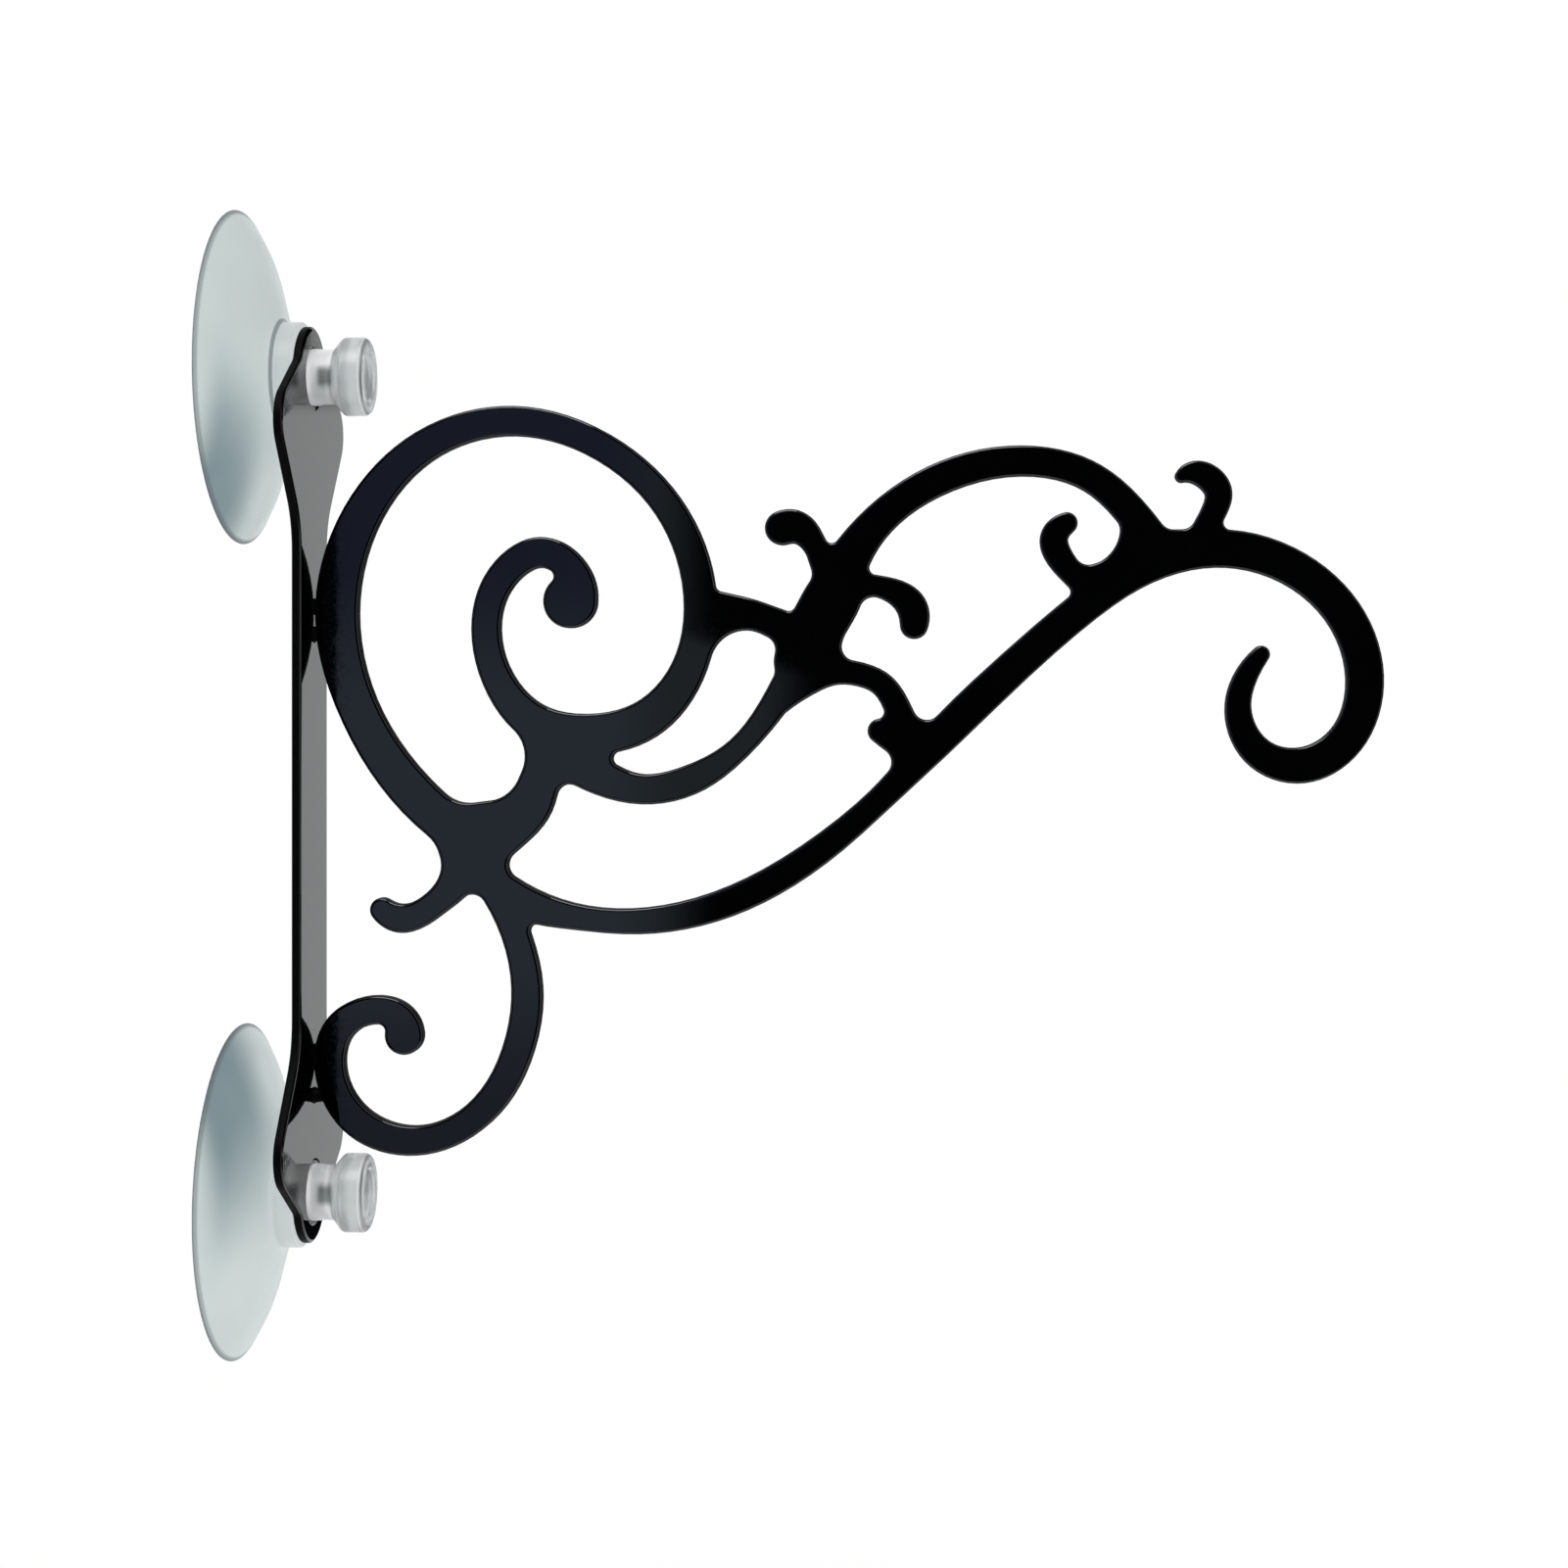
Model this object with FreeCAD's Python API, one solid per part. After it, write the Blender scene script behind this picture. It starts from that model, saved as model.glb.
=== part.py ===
import FreeCAD, Part
import math
import os

from FreeCAD import Vector

# Window bird feeder hanger, millimetres. The window pane is the plane X = 0 and +X points into
# the open, Z = 0 is midway between the two suction cups, and Y = 0 halves the scroll panel.

# Suction cups, clear soft PVC with a mushroom head, both alike
cup_spacing = 154.0
cup_diameter = 63.0
lip_land = 1.0
lip_height = 0.3
lip_slope_height = 2.7
lip_slope_width = 4.7
dome_height = 8.4
hollow_depth = 5.0
boss_diameter = 20.8
boss_root_radius = 0.5
boss_height = 12.3
neck_diameter = 10.4
neck_free_length = 4.2
head_diameter = 14.8
head_cone_length = 1.8
head_length = 6.4
head_edge_radius = 1.0
head_dimple_diameter = 9.6
head_dimple_depth = 0.5

# Back plate, flat strip with a spade at each end
plate_thickness = 1.9
strip_width = 20.0
spade_width = 46.0
spade_offset = 9.6
spade_radius = 6.7
taper_angle = 39.0
taper_radius = 14.0
shoulder_angle = 58.0
shoulder_radius = 3.0
tip_radius = 9.5
hole_clearance = 0.25

# Scroll panel, cut from one sheet and welded edge-on to the plate
scroll_reach = 199.0
scroll_thickness = 3.0
bar_width = 6.0
corner_radius = 1.3
broad_corner_radius = 2.6
wide_corner_radius = 6.8
grid_squares = 199

# Weld nuggets in the narrow gap between plate and scroll
weld_gap = 0.4
weld_diameter = 2.6
ring_weld_pitch = 5.3
foot_weld_pitch = 8.2

plate_back = boss_height
plate_front = plate_back + plate_thickness
hole_radius = neck_diameter / 2 + hole_clearance
grid = scroll_reach / grid_squares


def turned_over(shape):
    """The same shape turned half round about the X axis."""
    return shape.rotated(Vector(0, 0, 0), Vector(1, 0, 0), 180)


def curve_through(points):
    """Smooth edge through points."""
    curve = Part.BSplineCurve()
    curve.interpolate(points)
    return curve.toShape()


def polygon_face(points):
    return Part.Face(Part.makePolygon(points + points[:1]))


def disc(center, radius, axis):
    return Part.Face(Part.Wire(Part.makeCircle(radius, center, axis)))


def rounded(solid, axis, corners, radius):
    """Fillet the edges along an axis that pass through the given corners."""
    near = 0.001
    edges = []
    for edge in solid.Edges:
        start = edge.firstVertex().Point
        along = edge.lastVertex().Point - start
        if along.cross(axis).Length > near or abs(along.dot(axis)) < near:
            continue
        if any((start - corner).cross(axis).Length < near for corner in corners):
            edges.append(edge)
    return solid.makeFillet(radius, edges)


# Suction cup


def suction_cup(z):
    """Turned about the cup's axis, from the lip on the pane to the mushroom head."""
    lip = cup_diameter / 2
    hollow = lip - lip_land
    boss = boss_diameter / 2
    neck = neck_diameter / 2
    head = head_diameter / 2
    dimple = head_dimple_diameter / 2
    head_start = plate_front + neck_free_length
    cone_end = head_start + head_cone_length
    head_end = head_start + head_length
    edge_start = head_end - head_edge_radius
    dimple_floor = head_end - head_dimple_depth
    dimple_flat = dimple - head_dimple_depth
    hollow_radius = (hollow ** 2 + hollow_depth ** 2) / (2 * hollow_depth)
    half_way = hollow / 2
    hollow_half = hollow_depth - hollow_radius + math.sqrt(hollow_radius ** 2 - half_way ** 2)
    root_slant = boss_root_radius * (1 - math.sqrt(0.5))
    edge_slant = head_edge_radius * (1 - math.sqrt(0.5))

    def at(x, r):
        return Vector(x, 0, r)

    slope_top = at(lip_height + lip_slope_height, lip - lip_slope_width)
    dome_top = at(dome_height, boss + boss_root_radius)
    root_top = at(dome_height + boss_root_radius, boss)
    root_middle = at(dome_height + root_slant, boss + root_slant)
    outline = [
        Part.LineSegment(at(0, hollow), at(0, lip)),
        Part.LineSegment(at(0, lip), at(lip_height, lip)),
        Part.LineSegment(at(lip_height, lip), slope_top),
        Part.LineSegment(slope_top, dome_top),
        Part.Arc(dome_top, root_middle, root_top),
        Part.LineSegment(root_top, at(plate_back, boss)),
        Part.LineSegment(at(plate_back, boss), at(plate_back, neck)),
        Part.LineSegment(at(plate_back, neck), at(head_start, neck)),
        Part.LineSegment(at(head_start, neck), at(cone_end, head)),
        Part.LineSegment(at(cone_end, head), at(edge_start, head)),
        Part.Arc(
            at(edge_start, head),
            at(head_end - edge_slant, head - edge_slant),
            at(head_end, head - head_edge_radius),
        ),
        Part.LineSegment(at(head_end, head - head_edge_radius), at(head_end, dimple)),
        Part.LineSegment(at(head_end, dimple), at(dimple_floor, dimple_flat)),
        Part.LineSegment(at(dimple_floor, dimple_flat), at(dimple_floor, 0)),
        Part.LineSegment(at(dimple_floor, 0), at(hollow_depth, 0)),
        Part.Arc(at(hollow_depth, 0), at(hollow_half, half_way), at(0, hollow)),
    ]
    profile = Part.Face(Part.Wire([piece.toShape() for piece in outline]))
    cup = profile.revolve(Vector(0, 0, 0), Vector(1, 0, 0), 360)
    cup.translate(Vector(0, 0, z))
    return cup


# Back plate


def back_plate():
    """Strip and two spades cut from sheet, with a hole for each cup's neck."""
    hole_z = cup_spacing / 2
    taper = math.radians(taper_angle)
    shoulder = math.radians(shoulder_angle)

    # The spade's flank lines touch a circle of the spade radius at its widest level.
    arc_y = spade_width / 2 - spade_radius
    arc_z = hole_z - spade_offset
    lower_y = arc_y + spade_radius * math.cos(taper)
    lower_z = arc_z - spade_radius * math.sin(taper)
    upper_y = arc_y + spade_radius * math.cos(shoulder)
    upper_z = arc_z + spade_radius * math.sin(shoulder)
    strip_y = strip_width / 2
    taper_z = lower_z - (lower_y - strip_y) / math.tan(taper)
    crown_z = upper_z + upper_y / math.tan(shoulder)

    def at(y, z):
        return Vector(plate_back, y, z)

    axis = Vector(1, 0, 0)
    spade = polygon_face([
        at(-strip_y, taper_z), at(strip_y, taper_z), at(lower_y, lower_z), at(upper_y, upper_z),
        at(0, crown_z), at(-upper_y, upper_z), at(-lower_y, lower_z),
    ])
    cheeks = [disc(at(side * arc_y, arc_z), spade_radius, axis) for side in (-1, 1)]
    tip = disc(at(0, hole_z), tip_radius, axis)
    end = [spade, tip] + cheeks
    strip = polygon_face([
        at(-strip_y, -taper_z), at(strip_y, -taper_z), at(strip_y, taper_z), at(-strip_y, taper_z),
    ])
    sheet = strip.multiFuse(end + [turned_over(face) for face in end]).removeSplitter()
    plate = sheet.extrude(axis * plate_thickness)

    # Where the shoulder line runs into the round tip
    along = (math.sin(shoulder), -math.cos(shoulder))
    foot = (crown_z - hole_z) * math.sin(shoulder)
    slide = math.sqrt(tip_radius ** 2 - foot ** 2) + (crown_z - hole_z) * math.cos(shoulder)
    join_y, join_z = slide * along[0], crown_z + slide * along[1]
    tapers = [at(y, z) for y in (-strip_y, strip_y) for z in (-taper_z, taper_z)]
    joins = [at(y, z) for y in (-join_y, join_y) for z in (-join_z, join_z)]
    plate = rounded(plate, axis, tapers, taper_radius)
    plate = rounded(plate, axis, joins, shoulder_radius)
    for z in (-hole_z, hole_z):
        plate = plate.cut(Part.makeCylinder(hole_radius, plate_thickness, at(0, z), axis))
    return plate


# Scroll panel


def stroke(stations, ball_width=0):
    """Bar swept by a disc of changing width along a smooth spine of (x, z, width) stations.

    x and z are squares of the drawing grid from the plate's front face and from the mid level,
    and a width is a share of the bar width. A ball, if any, lies inside the last bend, flush
    with the bar's outer edge.
    """
    samples_per_span = 4
    flush_share = 0.97
    spine = Part.BSplineCurve()
    spine.interpolate([Vector(x * grid, z * grid, w * bar_width / 2) for x, z, w in stations])
    count = samples_per_span * (len(stations) - 1)
    first, last = spine.FirstParameter, spine.LastParameter
    left, right, tips = [], [], []
    for step in range(count + 1):
        point, slope = spine.getD1(first + (last - first) * step / count)
        speed = math.hypot(slope.x, slope.y)
        ahead = Vector(slope.x / speed, 0, slope.y / speed)
        beside = Vector(-ahead.z, 0, ahead.x)
        center = Vector(plate_front + point.x, 0, point.y)
        flare = slope.z / speed
        back = center - ahead * (point.z * flare)
        half = point.z * math.sqrt(1 - flare ** 2)
        left.append(back + beside * half)
        right.append(back - beside * half)
        tips.append((center - ahead * point.z, center + ahead * point.z))
    bar = Part.Face(Part.Wire([
        curve_through(left),
        Part.Arc(left[-1], tips[-1][1], right[-1]).toShape(),
        curve_through(right[::-1]),
        Part.Arc(right[0], tips[0][0], left[0]).toShape(),
    ]))
    if not ball_width:
        return [bar]
    ball_radius = ball_width * bar_width / 2
    flush = flush_share * (ball_radius - point.z)
    return [bar, disc(center - beside * flush, ball_radius, Vector(0, 1, 0))]


def touching(width):
    """Grid distance of a bar's middle where its edge stands one weld gap off the plate."""
    return (weld_gap + width * bar_width / 2) / grid


ring_swell = 1.37
foot_swell = 0.98
ring_level = 31.0
foot_level = -54.6

scroll_strokes = {
    "spiral": [
        (31.6, -11.2, 1.30), (17.9, -0.1, 1.33), (8.5, 14.6, 1.26),
        (touching(ring_swell), ring_level, ring_swell), (8.4, 49.1, 1.24), (21.6, 64.0, 1.02),
        (38.3, 68.4, 0.94), (54.6, 63.7, 0.92), (66.7, 53.3, 0.93), (73.3, 37.1, 1.02), (70.7, 20.6, 1.10),
        (63.3, 12.4, 1.25), (52.6, 9.6, 1.29), (42.4, 11.8, 1.20), (35.8, 18.9, 1.00), (33.1, 27.9, 0.92),
        (36.1, 39.2, 0.95), (44.0, 43.7, 0.97), (49.6, 40.2, 0.95), (51.2, 34.2, 0.95),
    ],
    "root": [
        (48.0, 9.0, 1.50), (43.7, 2.4, 1.22), (41.3, -3.6, 1.42), (36.8, -8.2, 1.50), (31.5, -15.0, 1.20),
    ],
    "root web": [(27.4, -7.0, 1.00), (31.3, -6.2, 1.00), (35.6, -5.6, 1.00), (39.0, -4.6, 1.00)],
    "arm": [
        (33.0, -16.2, 0.85), (41.1, -22.3, 1.06), (48.5, -24.3, 0.84), (61.5, -25.3, 0.80),
        (78.2, -21.8, 0.92), (98.9, -9.5, 0.88), (107.4, -2.0, 0.83), (118.3, 9.2, 1.08),
        (129.5, 20.1, 1.10), (144.1, 32.9, 1.06), (155.0, 40.3, 1.10), (168.6, 44.0, 1.17),
        (181.0, 41.3, 1.14), (192.1, 31.7, 1.14), (195.7, 18.8, 1.14), (191.9, 8.5, 1.10),
        (184.5, 4.3, 1.10), (176.7, 6.4, 0.98), (172.8, 15.2, 0.80), (174.7, 21.4, 0.68),
        (177.0, 24.6, 0.53),
    ],
    "foot": [
        (30.5, -14.0, 1.00), (36.0, -22.0, 0.90), (39.1, -29.2, 0.90), (40.8, -38.3, 0.97),
        (39.2, -49.3, 0.98), (33.7, -59.6, 0.95), (20.5, -66.9, 0.91), (8.6, -63.6, 1.00),
        (touching(foot_swell), foot_level, foot_swell), (4.8, -46.2, 0.98), (11.1, -42.5, 0.90),
        (16.2, -43.4, 0.90), (18.3, -47.0, 0.92),
    ],
    "foot leaf": [
        (28.7, -12.0, 1.55), (26.9, -18.6, 1.05), (23.5, -22.1, 0.85), (17.7, -25.1, 0.90),
        (13.2, -23.5, 0.75),
    ],
    "crescent": [
        (47.0, 6.0, 1.20), (54.5, 1.8, 1.15), (61.4, -0.5, 0.95), (70.7, 0.8, 0.96), (80.2, 6.6, 0.75),
        (87.2, 15.0, 0.85), (92.8, 24.5, 1.10),
    ],
    "bridge": [
        (74.0, 35.0, 0.75), (77.9, 33.0, 1.05), (82.6, 32.2, 0.95), (87.0, 30.6, 0.97), (94.0, 28.0, 1.20),
    ],
    "stem": [
        (93.1, 23.2, 1.92), (94.0, 26.4, 1.91), (95.6, 30.2, 1.77), (98.6, 35.6, 1.74), (100.0, 38.8, 1.30),
    ],
    "bud": [
        (99.5, 38.0, 1.00), (97.0, 41.3, 0.95), (95.3, 44.3, 0.76), (92.1, 48.0, 1.00), (88.9, 48.1, 1.07),
    ],
    "inner leaf": [(101.5, 37.8, 1.00), (107.2, 37.1, 0.70), (112.3, 34.4, 0.94), (113.4, 30.0, 0.86)],
    "lower link": [
        (85.0, 12.2, 0.62), (88.9, 16.0, 0.72), (93.6, 19.3, 0.80), (98.3, 21.2, 0.80),
        (103.3, 20.9, 0.76), (107.2, 19.2, 0.76), (110.6, 14.0, 0.84), (113.9, 6.4, 1.05),
    ],
    "knob": [(114.0, 6.2, 0.90), (110.6, 8.2, 0.88), (107.1, 10.4, 0.76)],
    "arch": [
        (99.6, 38.5, 1.50), (109.1, 51.5, 1.02), (118.7, 57.3, 1.00), (132.8, 60.3, 0.95),
        (145.7, 57.4, 0.95), (154.4, 49.4, 1.04), (159.0, 42.5, 1.15),
    ],
    "saddle": [(156.0, 44.2, 1.05), (162.0, 44.3, 1.08), (168.0, 44.1, 1.10)],
    "heel": [(153.0, 51.5, 0.90), (154.6, 46.0, 1.15), (152.6, 41.0, 1.25), (147.3, 37.9, 1.15)],
    "lower curl": [(146.0, 35.5, 0.85), (141.0, 41.4, 0.82), (139.2, 45.5, 0.88), (141.6, 48.8, 0.66)],
    "upper curl": [
        (165.8, 45.0, 0.95), (168.3, 50.5, 0.78), (169.2, 54.5, 0.84), (166.6, 57.5, 0.80),
        (162.5, 57.3, 0.40),
    ],
}
ball_ends = {"spiral": 1.70, "foot": 1.22}

# Grid places of the inner corners that open wider than the rest
wide_corners = [
    (24.1, -11.2), (27.8, -3.8), (36.8, -2.2), (42.1, 7.8), (76.5, 30.1),
]
broad_corners = [
    (30.8, -18.9), (35.9, -15.3), (47.3, 1.5), (87.7, 21.4), (88.3, 26.7), (94.8, 39.2), (99.2, 23.7),
    (103.7, 35.4), (110.5, 5.1), (115.0, 10.4), (144.9, 40.4), (151.3, 48.4), (159.8, 47.5),
    (164.0, 47.5),
]


def outline_corners(face):
    """Points where two edges of an outline meet at an angle instead of running on."""
    least_turn = math.radians(14)
    samples = 200
    leaving = {}
    for edge in face.Edges:
        points = edge.discretize(samples)
        for end, beside in ((points[0], points[1]), (points[-1], points[-2])):
            place = (round(end.x, 3), round(end.z, 3))
            leaving.setdefault(place, []).append((end, (beside - end).normalize()))
    corners = []
    for meeting in leaving.values():
        if len(meeting) == 2 and meeting[0][1].getAngle(meeting[1][1]) < math.pi - least_turn:
            corners.append(meeting[0][0])
    return corners


def nearest_corners(corners, places):
    """The outline corner nearest to each grid place."""
    targets = [Vector(plate_front + x * grid, 0, z * grid) for x, z in places]
    return [min(corners, key=target.distanceToPoint) for target in targets]


def scroll_arm():
    """Sheet panel of tapered bars that flow into each other with rounded inner corners."""
    bars = []
    for name, stations in scroll_strokes.items():
        bars += stroke(stations, ball_ends.get(name, 0))
    face = bars[0].multiFuse(bars[1:]).removeSplitter().Faces[0]
    corners = outline_corners(face)
    wide = nearest_corners(corners, wide_corners)
    broad = nearest_corners(corners, broad_corners)
    tight = [corner for corner in corners if corner not in wide + broad]
    axis = Vector(0, 1, 0)
    panel = face.extrude(axis * scroll_thickness)
    panel = rounded(panel, axis, wide, wide_corner_radius)
    panel = rounded(panel, axis, broad, broad_corner_radius)
    panel = rounded(panel, axis, tight, corner_radius)
    panel.translate(axis * (-scroll_thickness / 2))
    return panel


# Weld nuggets


def weld(level, panel):
    """Short round nugget from the plate's front face to the scroll's edge."""
    start = Vector(plate_front, 0, level)
    rod = Part.makeCylinder(weld_diameter / 2, weld_gap + bar_width / 2, start, Vector(1, 0, 0))
    return rod.cut(panel)


panel = scroll_arm()
nodes = {"scroll_arm": panel, "back_plate": back_plate()}
for place, level, pitch in (
    ("ring", ring_level, ring_weld_pitch),
    ("foot", foot_level, foot_weld_pitch),
):
    nodes[place + "_weld_upper"] = weld(level * grid + pitch / 2, panel)
    nodes[place + "_weld_lower"] = weld(level * grid - pitch / 2, panel)
nodes["upper_suction_cup"] = suction_cup(cup_spacing / 2)
nodes["lower_suction_cup"] = suction_cup(-cup_spacing / 2)

os.makedirs("parts", exist_ok=True)
for name, shape in nodes.items():
    shape.exportStep("parts/" + name + ".step")
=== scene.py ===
import math

import bpy
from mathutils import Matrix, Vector


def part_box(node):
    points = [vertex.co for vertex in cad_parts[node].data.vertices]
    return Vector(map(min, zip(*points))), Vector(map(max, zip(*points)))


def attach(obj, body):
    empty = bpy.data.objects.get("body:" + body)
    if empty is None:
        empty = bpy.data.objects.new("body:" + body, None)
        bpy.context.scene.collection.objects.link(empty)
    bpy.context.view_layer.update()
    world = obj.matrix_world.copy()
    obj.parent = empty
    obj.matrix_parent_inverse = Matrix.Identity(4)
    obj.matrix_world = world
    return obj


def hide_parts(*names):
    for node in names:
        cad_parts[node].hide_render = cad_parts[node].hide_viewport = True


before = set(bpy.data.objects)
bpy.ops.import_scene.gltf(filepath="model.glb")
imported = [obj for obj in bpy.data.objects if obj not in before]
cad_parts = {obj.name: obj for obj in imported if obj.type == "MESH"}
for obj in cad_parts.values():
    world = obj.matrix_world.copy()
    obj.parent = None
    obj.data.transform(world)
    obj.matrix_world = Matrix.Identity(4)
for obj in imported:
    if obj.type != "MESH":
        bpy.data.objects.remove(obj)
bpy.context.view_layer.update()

MM = 0.001

# Points nearer to each other than this are one point.
same_place = 0.002 * MM

# How far, in mm, each cup's axis is above or below the middle of the plate.
cup_axis = 77.0

# Selecting and shaping


def only(obj):
    """Select this object alone, in object mode."""
    if bpy.context.mode != "OBJECT":
        bpy.ops.object.mode_set(mode="OBJECT")
    bpy.ops.object.select_all(action="DESELECT")
    obj.select_set(True)
    bpy.context.view_layer.objects.active = obj


def edit_faces(obj, test):
    """Go into edit mode with only the faces that pass a test selected."""
    only(obj)
    bpy.ops.object.mode_set(mode="EDIT")
    bpy.ops.mesh.select_mode(type="FACE")
    bpy.ops.mesh.select_all(action="DESELECT")
    bpy.ops.object.mode_set(mode="OBJECT")
    for face in obj.data.polygons:
        face.select = test(face)
    bpy.ops.object.mode_set(mode="EDIT")


def lies_at(face, normal, level):
    """Whether a face's centre is at a level along a normal."""
    return abs(face.center.dot(normal) - level) < same_place


def settle_normals(obj):
    """Merge doubles and turn every face outwards."""
    only(obj)
    bpy.ops.object.mode_set(mode="EDIT")
    bpy.ops.mesh.select_all(action="SELECT")
    bpy.ops.mesh.remove_doubles(threshold=same_place)
    bpy.ops.mesh.normals_make_consistent(inside=False)
    bpy.ops.object.mode_set(mode="OBJECT")


# Shader maths on sockets


class Value:
    """A socket that takes part in sums; each sum adds one Math node."""

    def __init__(self, paint, socket):
        self.paint, self.socket = paint, socket

    def outlet(self, name):
        """Another output of the same node."""
        return Value(self.paint, self.socket.node.outputs[name])

    def _math(self, operation, first, second):
        return self.paint.node("Math", {"operation": operation}, {0: first, 1: second})

    def __add__(self, other):
        return self._math("ADD", self, other)

    __radd__ = __add__

    def __mul__(self, other):
        return self._math("MULTIPLY", self, other)

    __rmul__ = __mul__

    def __sub__(self, other):
        return self._math("SUBTRACT", self, other)

    def __rsub__(self, other):
        return self._math("SUBTRACT", other, self)

    def __truediv__(self, other):
        return self._math("DIVIDE", self, other)

    def __rtruediv__(self, other):
        return self._math("DIVIDE", other, self)

    def __abs__(self):
        return self._math("ABSOLUTE", self, 0.0)

    def at_least(self, low):
        return self._math("MAXIMUM", self, low)

    def rise(self, low, high):
        """0 below low, 1 above high and a smooth rise in between."""
        settings = {"interpolation_type": "SMOOTHSTEP"}
        return self.paint.node("MapRange", settings, {"Value": self, "From Min": low, "From Max": high})

    def band(self, low, high, soft):
        """1 between low and high, with soft ends outside them."""
        return self.rise(low - soft, low) * (1 - self.rise(high, high + soft))


class Paint:
    """Node tree of one material or of the world."""

    def __init__(self, owner):
        owner.use_nodes = True
        self.tree = owner.node_tree
        self.tree.nodes.clear()

    def node(self, kind, settings=None, sockets=None, output=0):
        """Add a node, set it up, feed its sockets by name or number and give one of its outputs."""
        made = self.tree.nodes.new("ShaderNode" + kind)
        for key, value in (settings or {}).items():
            setattr(made, key, value)
        for place, value in (sockets or {}).items():
            if isinstance(value, Value):
                self.tree.links.new(value.socket, made.inputs[place])
            else:
                made.inputs[place].default_value = value
        if made.outputs:
            return Value(self, made.outputs[output])

    def noise(self, where, scale, detail=2.0):
        return self.node("TexNoise", None, {"Vector": where, "Scale": scale, "Detail": detail})

    def length(self, vector):
        return self.node("VectorMath", {"operation": "LENGTH"}, {0: vector}, output="Value")

    def parts(self, vector):
        """The X, Y and Z of a vector."""
        split = self.node("SeparateXYZ", None, {0: vector})
        return [split.outlet(axis) for axis in "XYZ"]

    def tint(self, share, low, high):
        """Colour between two by a share from 0 to 1; either end may be another tint."""
        factor, first, second, result = 0, 6, 7, 2
        ends = [end if isinstance(end, Value) else (*end, 1) for end in (low, high)]
        sockets = {factor: share, first: ends[0], second: ends[1]}
        return self.node("Mix", {"data_type": "RGBA"}, sockets, output=result)

    def bump(self, height, strength, depth):
        return self.node("Bump", None, {"Strength": strength, "Distance": depth, "Height": height})

    def coat(self, sockets):
        """Cover the material with a Principled shader that has these sockets set."""
        shader = self.node("BsdfPrincipled", None, sockets)
        self.node("OutputMaterial", None, {"Surface": shader})


def new_paint(name):
    """A material, its node tree and the place of a point on the piece."""
    material = bpy.data.materials.new(name)
    paint = Paint(material)
    return material, paint, paint.node("TexCoord", output="Object")


# Finishes


def gloss_enamel():
    """Thick glossy black enamel with a faint orange peel and fine dust."""
    material, paint, where = new_paint("gloss_black_enamel")
    peel = paint.noise(where, scale=260.0, detail=1.0)
    wave = paint.noise(where, scale=42.0, detail=1.0)
    dust = paint.noise(where, scale=1500.0)
    paint.coat({
        "Base Color": paint.tint(wave, (0.0002, 0.0002, 0.0003), (0.0006, 0.0006, 0.0007)),
        "Roughness": dust.rise(0.3, 0.8) * 0.03 + 0.01,
        "IOR": 1.5,
        "Normal": paint.bump(peel * 0.35 + wave, strength=0.025, depth=0.2 * MM),
    })
    return material


def cut_edge_enamel():
    """Thin, dull coat on the cut edges of the sheet and on the welds."""
    material, paint, where = new_paint("dull_black_cut_edge")
    grit = paint.noise(where, scale=900.0, detail=3.0)
    paint.coat({
        "Base Color": paint.tint(grit, (0.0006, 0.0006, 0.0007), (0.0020, 0.0020, 0.0022)),
        "Roughness": grit * 0.2 + 0.4,
        "Specular IOR Level": 0.04,
        "Normal": paint.bump(grit, strength=0.15, depth=0.1 * MM),
    })
    return material


def from_cup_axis(paint, y, z):
    """Height over the nearer cup's axis, away from the other cup, and distance from that axis."""
    outward = abs(z) - cup_axis * MM
    return outward, paint.length(paint.node("CombineXYZ", None, {"Y": y, "Z": outward}))


def pvc_grain(paint, where):
    """Fine matt grain that the mould leaves on all of a cup."""
    return paint.bump(paint.noise(where, scale=650.0), strength=0.08, depth=0.1 * MM)


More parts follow.
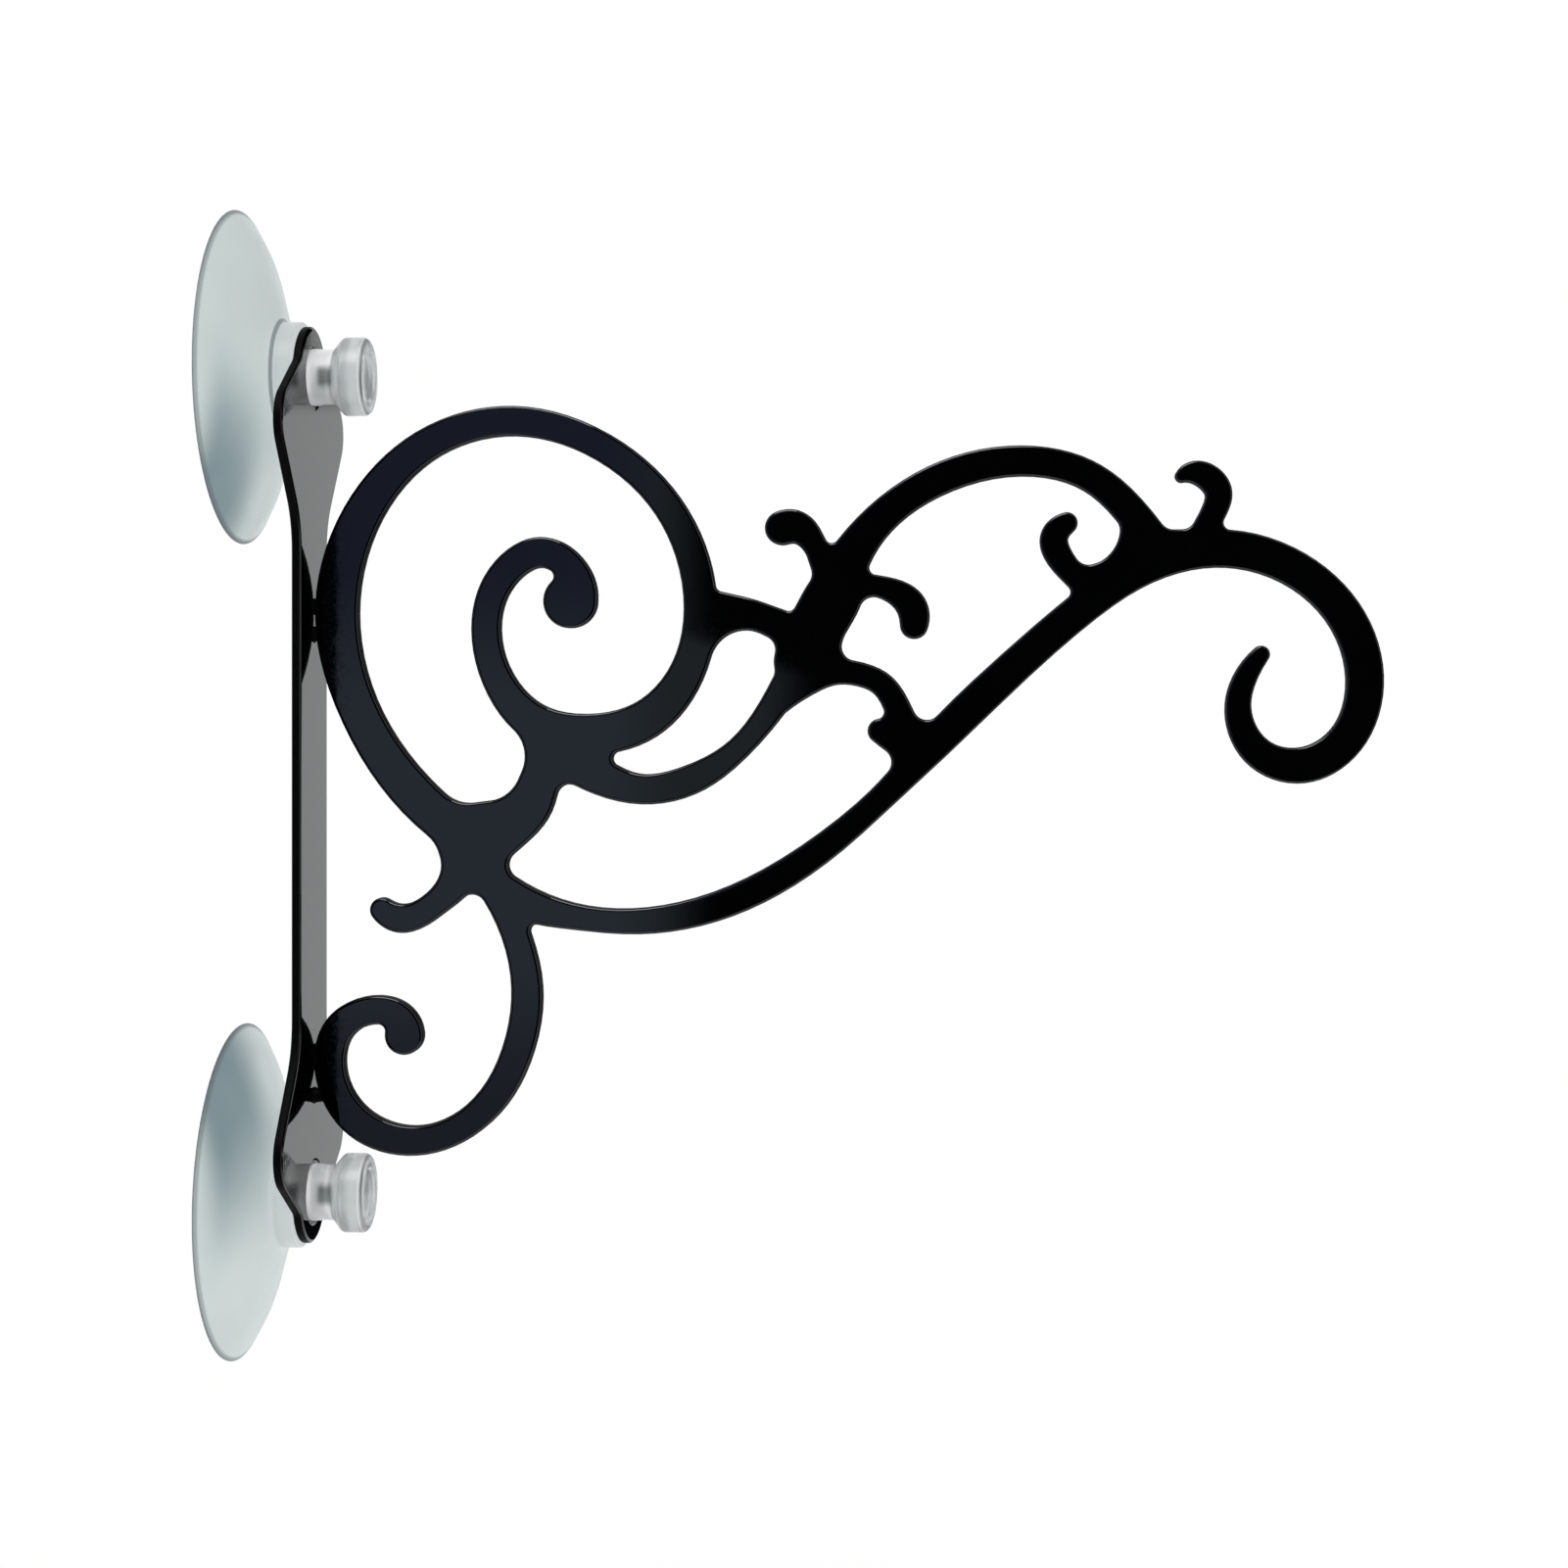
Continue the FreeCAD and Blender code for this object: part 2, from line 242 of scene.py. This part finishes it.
def cloudy_pvc(name, bending):
    """Soft PVC of dome and boss, gone cloudy; bending is its index of refraction.

    A bluish painted shade deepens across the dome towards the middle of the plate, where the plate
    shades it.
    Painted shade also darkens the edge of the lip, and the upper cup where its dome meets its boss.
    """
    pale, paler = (0.56, 0.625, 0.62), (0.60, 0.67, 0.66)
    boss_tone = (0.775, 0.80, 0.80)
    # Tone of the bluish painted shade across the dome.
    painted_shade_tone = (0.17, 0.245, 0.27)
    # Tone of the painted shade on the lip's edge and in the upper cup's crease.
    painted_shade_line_tone = (0.10, 0.12, 0.13)

    material, paint, where = new_paint(name)
    x, y, z = paint.parts(where)
    outward, reach = from_cup_axis(paint, y, z)
    cloud = paint.noise(where, scale=48.0)
    patches = cloud.rise(0.3, 0.7)
    dome = 1 - x.rise(8.0 * MM, 9.0 * MM)
    upper = z.rise(-1.0 * MM, 1.0 * MM)

    # Painted shade: deepest on the camera's half of the dome towards the plate, where the plate shades
    # the cup.
    painted_shade_run = (upper * (-4.5 * MM) - outward * 0.88 - y * 0.48).rise(-2.5 * MM, 23.5 * MM)
    painted_shade_start = y.rise(-30.5 * MM, -22.5 * MM)
    painted_shade_end = 1 - (y + upper * (4.0 * MM)).rise(-12.0 * MM, 4.0 * MM)
    painted_shade = painted_shade_run * painted_shade_start * painted_shade_end * dome * (cloud * 0.5 + 0.65)
    # Painted shade: a dark line along the edge of the lip.
    lip = reach.rise(30.4 * MM, 31.0 * MM) * dome
    # Painted shade in the crease where the upper cup's dome meets its boss; the lower cup has none.
    painted_corner_shade = x.band(8.35 * MM, 8.75 * MM, 0.3 * MM) * reach.band(10.0 * MM, 11.0 * MM, 0.3 * MM) * upper

    body = paint.tint(patches, pale, paler)
    body = paint.tint(x.rise(7.5 * MM, 10.0 * MM), body, boss_tone)
    body = paint.tint(painted_shade, body, painted_shade_tone)
    # Painted shade: the lip's edge and the upper cup's crease are darkened.
    body = paint.tint(lip * 0.75 + painted_corner_shade * 0.95, body, painted_shade_line_tone)
    paint.coat({
        "Base Color": body,
        "Roughness": patches * 0.08 + 0.29,
        "IOR": bending,
        "Transmission Weight": 1.0,
        "Normal": pvc_grain(paint, where),
    })
    return material


def clear_pvc(name, low, high, bending, clearness):
    """Clearer PVC of neck and head, clouded between two tones; bending is its index of refraction.

    A dark band of painted refraction crosses the neck where it meets the head, and the head's end is
    white with a rim of painted shade.
    """
    end_tone = (0.95, 0.97, 0.97)
    # Dark tone for the neck's painted refraction and the head's painted shade rim.
    painted_dark_tone = (0.15, 0.17, 0.17)

    material, paint, where = new_paint(name)
    x, y, z = paint.parts(where)
    outward, reach = from_cup_axis(paint, y, z)
    patches = paint.noise(where, scale=160.0).rise(0.3, 0.7)
    # Painted refraction: a dark band round the neck where it meets the head.
    painted_refraction_height = 1 - abs(outward + 0.4 * MM).rise(0.8 * MM, 2.8 * MM)
    painted_refraction_band = x.band(16.7 * MM, 18.5 * MM, 1.3 * MM) * painted_refraction_height
    # Painted shade: a dark rim on the rounded edge of the head's end.
    rim = x.rise(24.2 * MM, 24.6 * MM) * reach.rise(6.0 * MM, 6.8 * MM)

    body = paint.tint(patches, low, high)
    body = paint.tint(x.rise(24.0 * MM, 24.25 * MM), body, end_tone)
    # Painted refraction on the neck and painted shade on the head's rim.
    body = paint.tint(painted_refraction_band * 0.95 + rim * 0.7, body, painted_dark_tone)
    paint.coat({
        "Base Color": body,
        "Roughness": patches * 0.04 + 0.22,
        "IOR": bending,
        "Transmission Weight": clearness,
        "Normal": pvc_grain(paint, where),
    })
    return material


# Sheet steel pieces


def enamelled_sheet(name, node, normal, turn, rim_width, rim_depth, finish, edge_finish):
    """The node's cut-out sheet with the soft rim that thick enamel gives it.

    normal is the show side, whose outline is taken, and turn lays that side level. The rim rounds off
    over rim_width across the faces and rim_depth down the cut edge.
    """
    outline_merge = 0.0005 * MM
    show_side = 0.99
    shoulder = 0.6
    rim_steps = 5
    smooth_angle = math.radians(40)
    low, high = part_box(node)
    thickness = abs((high - low).dot(normal))
    middle = normal * (low + high).dot(normal) / 2
    front = middle.dot(normal) + thickness / 2
    back = front - thickness

    def is_flat(face):
        return lies_at(face, normal, front) or lies_at(face, normal, back)

    # Keep the outline of the show side.
    sheet = bpy.data.objects.new(name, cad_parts[node].data.copy())
    bpy.context.scene.collection.objects.link(sheet)
    only(sheet)
    bpy.ops.object.mode_set(mode="EDIT")
    bpy.ops.mesh.select_all(action="SELECT")
    bpy.ops.mesh.remove_doubles(threshold=outline_merge)
    edit_faces(sheet, lambda face: face.normal.dot(normal) > show_side)
    bpy.ops.mesh.region_to_loop()
    bpy.ops.mesh.select_mode(type="EDGE")
    bpy.ops.mesh.select_all(action="INVERT")
    bpy.ops.mesh.delete(type="EDGE")
    bpy.ops.mesh.select_all(action="SELECT")
    bpy.ops.transform.resize(value=[1 - abs(part) for part in normal], center_override=(0, 0, 0))
    bpy.ops.object.mode_set(mode="OBJECT")

    # Lay it level, fill it with a rounded rim, and stand it up again.
    sheet.rotation_euler = turn
    bpy.ops.object.transform_apply(rotation=True)
    bpy.ops.object.convert(target="CURVE")
    squeeze = rim_depth / rim_width
    curve = sheet.data
    curve.dimensions = "2D"
    curve.fill_mode = "BOTH"
    curve.bevel_depth = rim_width
    curve.bevel_resolution = rim_steps
    curve.offset = -rim_width
    curve.extrude = thickness / 2 / squeeze - rim_width
    bpy.ops.object.convert(target="MESH")
    sheet.scale.z = squeeze
    sheet.rotation_euler = [-angle for angle in turn]
    sheet.location = middle
    bpy.ops.object.transform_apply(location=True, rotation=True, scale=True)
    settle_normals(sheet)
    edit_faces(sheet, is_flat)
    bpy.ops.mesh.beautify_fill()
    bpy.ops.object.mode_set(mode="OBJECT")

    # Gloss on the faces and the rim's shoulder, a dull coat on the cut edge.
    sheet.data.materials.clear()
    sheet.data.materials.append(finish)
    sheet.data.materials.append(edge_finish)
    for face in sheet.data.polygons:
        face.material_index = int(abs(face.normal.dot(normal)) < shoulder)

    # Round the rim in shading and keep the faces flat.
    only(sheet)
    bpy.ops.object.shade_smooth_by_angle(angle=smooth_angle)
    edit_faces(sheet, is_flat)
    bpy.ops.mesh.set_normals_from_faces(keep_sharp=False)
    bpy.ops.object.mode_set(mode="OBJECT")
    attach(sheet, "bracket")
    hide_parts(node)


# Turned pieces


def turned(name, rings, segments, level):
    """Round closed piece drawn out along X by rings of (x, radius); level is its axis height."""
    x, r = rings[0]
    facing_x = (0, math.pi / 2, 0)
    bpy.ops.object.select_all(action="DESELECT")
    bpy.ops.mesh.primitive_circle_add(
        vertices=segments, radius=r, fill_type="TRIFAN", location=(x, 0, level), rotation=facing_x
    )
    piece = bpy.context.object
    piece.name = piece.data.name = name
    bpy.ops.object.transform_apply(location=True, rotation=True)
    bpy.ops.object.mode_set(mode="EDIT")
    bpy.ops.mesh.select_all(action="SELECT")
    for next_x, next_r in rings[1:]:
        bpy.ops.mesh.extrude_region_move(TRANSFORM_OT_translate={"value": (next_x - x, 0, 0)})
        grow = next_r / r
        bpy.ops.transform.resize(value=(1, grow, grow), center_override=(next_x, 0, level))
        x, r = next_x, next_r
    bpy.ops.object.mode_set(mode="OBJECT")
    settle_normals(piece)
    return piece


def arc(center, radius, start, end, steps):
    """Ring stations on an arc about (x, r), from one angle to another, in degrees from +X."""
    stations = []
    for step in range(steps + 1):
        angle = math.radians(start + (end - start) * step / steps)
        stations.append((center[0] + radius * math.cos(angle), center[1] + radius * math.sin(angle)))
    return stations


def suction_cup(name, node, body, level, finishes):
    """Mushroom-head cup: thin lip, shallow dome, boss, neck through the plate and dimpled head.

    Its rings and level are in mm. finishes are those of the outside, the hollow, the neck and the head.
    """
    hollow_reach = 30.5
    hollow_depth = 5.0
    hollow_steps = 16
    neck_start = 12.4
    head_start = 18.5
    segments = 96
    smooth_angle = math.radians(35)

    # The hollow is a sphere's cap; the rings go round from its middle to the middle of the dimple.
    hollow_radius = (hollow_reach ** 2 + hollow_depth ** 2) / (2 * hollow_depth)
    rings = []
    for step in range(1, hollow_steps):
        r = hollow_reach * step / hollow_steps
        rings.append((hollow_depth - hollow_radius + math.sqrt(hollow_radius ** 2 - r ** 2), r))
    lip = [(0.0, 30.5), (0.0, 31.35), (0.06, 31.46), (0.16, 31.5), (0.28, 31.47)]
    dome = [
        (0.5, 31.2), (0.95, 30.42), (1.6, 29.28), (2.25, 28.12), (2.85, 26.98), (3.4, 25.65),
        (4.3, 22.98), (5.4, 19.74), (6.5, 16.5), (7.5, 13.55), (8.1, 11.78),
    ]
    root = [(8.4, 10.95), (8.6, 10.6), (8.9, 10.42)]
    boss = [(9.4, 10.4), (10.6, 10.4), (11.7, 10.4)] + arc((11.95, 10.05), 0.35, 90, 0, 4)
    shoulder = [(12.3, 8.0), (12.3, 5.6), (12.45, 5.3)]
    neck = [
        (12.9, 5.2), (13.3, 5.24), (13.6, 5.38), (14.4, 5.4), (15.1, 5.34), (15.9, 5.24),
        (16.7, 5.2), (17.9, 5.2),
    ]
    cone = [
        (18.3, 5.26), (18.65, 5.5), (19.2, 6.18), (19.8, 6.92), (20.15, 7.24), (20.45, 7.38),
        (20.8, 7.4),
    ]
    head = [(22.3, 7.4), (23.7, 7.4)] + arc((23.8, 6.4), 1.0, 80, 0, 5)
    dimple = [
        (24.8, 5.6), (24.8, 4.9), (24.68, 4.68), (24.42, 4.42), (24.3, 4.1), (24.3, 3.0),
        (24.3, 1.5),
    ]
    rings += lip + dome + root + boss + shoulder + neck + cone + head + dimple
    cup = turned(name, [(x * MM, r * MM) for x, r in rings], segments, level * MM)
    bpy.ops.object.shade_smooth_by_angle(angle=smooth_angle)

    for finish in finishes:
        cup.data.materials.append(finish)
    on_outside, on_hollow, on_neck, on_head = range(len(finishes))
    for face in cup.data.polygons:
        face.material_index = on_outside
        if face.center.x < hollow_depth * MM and face.normal.x < 0:
            face.material_index = on_hollow
        elif face.center.x > head_start * MM:
            face.material_index = on_head
        elif face.center.x > neck_start * MM:
            face.material_index = on_neck
    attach(cup, body)
    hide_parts(node)


def weld_bead(node, seed, finish):
    """Lumpy bead, flared where it wets the plate and sunk into the scroll's edge."""
    segments = 28
    sunk = 0.15 * MM
    lumps = 0.07 * MM
    low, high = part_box(node)
    start, end = low.x, high.x
    run = end - start
    rings = [
        (start - sunk, 1.0 * MM), (start, 1.75 * MM), (start + 0.12 * MM, 1.52 * MM),
        (start + 0.3 * run + 0.1 * MM, 1.32 * MM), (start + 0.7 * run, 1.30 * MM), (end, 1.22 * MM),
        (end + sunk, 0.6 * MM),
    ]
    bead = turned(node + "_bead", rings, segments, level=(low.z + high.z) / 2)
    bpy.ops.object.mode_set(mode="EDIT")
    bpy.ops.mesh.select_all(action="SELECT")
    bpy.ops.transform.vertex_random(offset=lumps, normal=0.5, seed=seed)
    bpy.ops.object.mode_set(mode="OBJECT")
    smooth = bead.modifiers.new("smooth", "SUBSURF")
    smooth.levels = smooth.render_levels = 1
    bpy.ops.object.modifier_apply(modifier=smooth.name)
    bpy.ops.object.shade_smooth()
    bead.data.materials.append(finish)
    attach(bead, "bracket")
    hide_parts(node)


# Stage


def studio_world():
    """White all round, with cards and screens that only the gloss shows.

    A tall dim card with a bulging right edge hangs behind the camera. Beyond the object, to the right,
    stands a pale screen with a narrower one over it. aside and height are slopes: how far a direction
    goes right or up for each metre of depth.
    """
    white = (1.0, 1.0, 1.0)
    room_tone = (0.85, 0.85, 0.85)
    through_tone = (0.82, 0.84, 0.85)
    dark_tone = (0.006, 0.007, 0.008)
    screen_tone = (0.80, 0.83, 0.83)
    card_top, card_middle, card_foot = (0.20, 0.25, 0.44), (0.43, 0.55, 0.70), (0.25, 0.30, 0.42)
    card_right_tone = (0.29, 0.37, 0.42)

    world = bpy.data.worlds.new("studio")
    bpy.context.scene.world = world
    paint = Paint(world)
    x, y, z = paint.parts(paint.node("TexCoord", output="Generated"))
    beyond = y.rise(-0.05, 0.05)
    near = 1 - beyond
    depth = abs(y).at_least(0.05)
    aside = x / depth
    height = z / depth

    # Beyond the object
    backdrop = (1 - aside.rise(0.08, 0.15)) * beyond
    screen = aside.rise(0.17, 0.22) * height.band(-0.18, 0.085, 0.012) * beyond
    top_screen = aside.band(0.19, 0.261, 0.005) * height.rise(0.100, 0.107) * beyond

    # Behind the camera
    walls = abs(aside).rise(0.7, 1.5) * near
    ceiling = height.rise(0.6, 1.4) * near
    card_bulge = height.band(-0.045, -0.008, 0.02) * 0.036
    card_right = 1 - (aside - card_bulge).rise(-0.142, -0.118)
    card = aside.rise(-0.2533, -0.2524) * card_right * near
    card_tone = paint.tint(height.rise(-0.02, 0.035), card_middle, card_top)
    card_tone = paint.tint(height.rise(-0.16, -0.10), card_foot, card_tone)
    card_tone = paint.tint(aside.rise(-0.16, -0.13), card_tone, card_right_tone)

    gloss = paint.tint((walls + ceiling) * 0.9, dark_tone, white)
    gloss = paint.tint(top_screen * 0.9, gloss, screen_tone)
    gloss = paint.tint(backdrop, gloss, white)
    gloss = paint.tint(screen, gloss, screen_tone)
    gloss = paint.tint(card, gloss, card_tone)

    through = paint.tint(backdrop, through_tone, white)
    rays = paint.node("LightPath")
    seen = paint.tint(rays.outlet("Is Glossy Ray"), room_tone, gloss)
    seen = paint.tint(rays.outlet("Is Transmission Ray"), seen, through)
    seen = paint.tint(rays.outlet("Is Camera Ray"), seen, white)
    background = paint.node("Background", None, {"Color": seen, "Strength": 1.0})
    paint.node("OutputWorld", None, {"Surface": background})


def studio_floor():
    """Plain pale floor well below the object, fading into the white around it."""
    middle = (0.1, 0, -0.2)
    radius = 0.36
    fade_start, fade_end = 0.10, 0.19
    bpy.ops.object.select_all(action="DESELECT")
    bpy.ops.mesh.primitive_circle_add(vertices=64, radius=radius, fill_type="NGON", location=middle)
    floor = bpy.context.object
    floor.name = "floor"
    material, paint, where = new_paint("pale_floor")
    pale = paint.node("BsdfDiffuse", None, {"Color": (0.9, 0.9, 0.9, 1)})
    white = paint.node("Emission", None, {"Color": (1, 1, 1, 1), "Strength": 1.0})
    fade = paint.length(where).rise(fade_start, fade_end)
    both = paint.node("MixShader", None, {0: fade, 1: pale, 2: white})
    paint.node("OutputMaterial", None, {"Surface": both})
    floor.data.materials.append(material)


def studio_light(name, place, aim, size, watts):
    """Square soft light aimed at a point."""
    bpy.ops.object.select_all(action="DESELECT")
    bpy.ops.object.light_add(type="AREA", location=place)
    lamp = bpy.context.object
    lamp.name = name
    lamp.data.size = size
    lamp.data.energy = watts
    lamp.rotation_euler = (Vector(aim) - Vector(place)).to_track_quat("-Z", "Y").to_euler()


def photo_camera():
    """Level camera in front of the panel, turned a little to the left."""
    image_px = 1601
    focal_px = 2950
    horizon_px = 672
    sensor_mm = 36
    place = (0.1540, -0.5355, 0.0239)
    level, turned_left = math.pi / 2, math.radians(5.4)
    bpy.ops.object.camera_add(location=place, rotation=(level, 0, turned_left))
    camera = bpy.context.object
    camera.data.sensor_width = sensor_mm
    camera.data.lens = sensor_mm * focal_px / image_px
    camera.data.shift_y = (horizon_px - image_px / 2) / image_px
    bpy.context.scene.camera = camera


photo_camera()
studio_world()
studio_floor()
studio_light("soft_top", place=(0.0, -0.35, 0.55), aim=(0.1, 0, 0), size=0.35, watts=2.0)
bpy.context.scene.view_settings.view_transform = "Standard"

enamel = gloss_enamel()
cut_edge = cut_edge_enamel()
cup_finishes = (
    cloudy_pvc("cloudy_pvc", bending=1.3),
    cloudy_pvc("cloudy_pvc_inside", bending=1.05),
    clear_pvc("milky_neck_pvc", (0.95, 0.97, 0.97), (0.99, 1.0, 1.0), bending=1.3, clearness=0.5),
    clear_pvc("clear_head_pvc", (0.58, 0.61, 0.61), (0.66, 0.69, 0.69), bending=1.45, clearness=0.8),
)
enamelled_sheet(
    "scroll_panel", "scroll_arm", normal=Vector((0, -1, 0)), turn=(-math.pi / 2, 0, 0),
    rim_width=0.6 * MM, rim_depth=0.45 * MM, finish=enamel, edge_finish=cut_edge,
)
enamelled_sheet(
    "back_plate_sheet", "back_plate", normal=Vector((1, 0, 0)), turn=(0, -math.pi / 2, 0),
    rim_width=0.9 * MM, rim_depth=0.5 * MM, finish=enamel, edge_finish=cut_edge,
)
welds = ("ring_weld_upper", "ring_weld_lower", "foot_weld_upper", "foot_weld_lower")
for seed, weld in enumerate(welds, start=1):
    weld_bead(weld, seed, cut_edge)
suction_cup("upper_cup", "upper_suction_cup", "upper_cup", cup_axis, cup_finishes)
suction_cup("lower_cup", "lower_suction_cup", "lower_cup", -cup_axis, cup_finishes)
